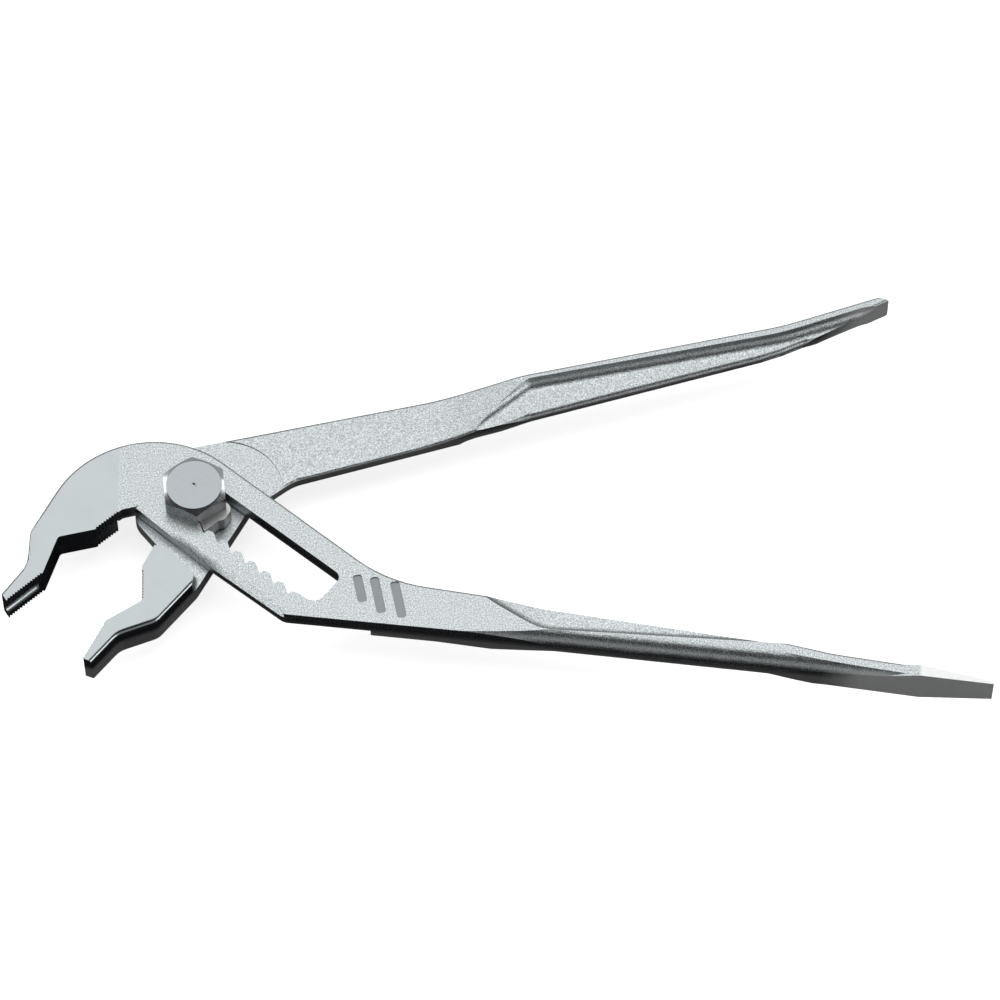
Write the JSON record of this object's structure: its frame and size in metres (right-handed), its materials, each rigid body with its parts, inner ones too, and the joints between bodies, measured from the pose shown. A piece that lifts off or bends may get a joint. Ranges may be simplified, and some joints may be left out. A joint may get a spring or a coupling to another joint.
{
  "type": "slip-joint pliers",
  "caption": "Long adjustable slip-joint pliers with offset serrated jaws, a toothed setting slot, curved handles and a screwdriver blade on one handle end.",
  "frame": {"origin": "on the pivot axis, in the flat end of the joint bolt, the lowest point when the tool lies down", "axes": "+Z along the pivot axis out of the bolt's hexagonal head, +X from the pivot towards the handle ends"},
  "size_m": [0.2507, 0.1145, 0.0204],
  "materials": {
    "lever_chrome": "satin",
    "block_steel": "satin",
    "bolt_chrome": "polished",
    "washer_steel": "satin",
    "nut_steel": "satin"
  },
  "bodies": {
    "front": {"front_lever": "lever_chrome"},
    "slide": {"slide_block": "block_steel", "pivot_bolt": "bolt_chrome", "back_washer": "washer_steel", "lock_nut": "nut_steel"},
    "rear": {"rear_lever": "lever_chrome"}
  },
  "joints": [
    {"name": "adjust_slide", "type": "slide", "parent": "front", "child": "slide", "axis": [0.7771, -0.6293, 0], "range_m": [0, 0.0282]},
    {"name": "jaw_hinge", "type": "hinge", "parent": "slide", "child": "rear", "pos_m": [0, 0, 0.0106], "axis": [0, 0, 1], "range_deg": [-26.5, 12]}
  ]
}
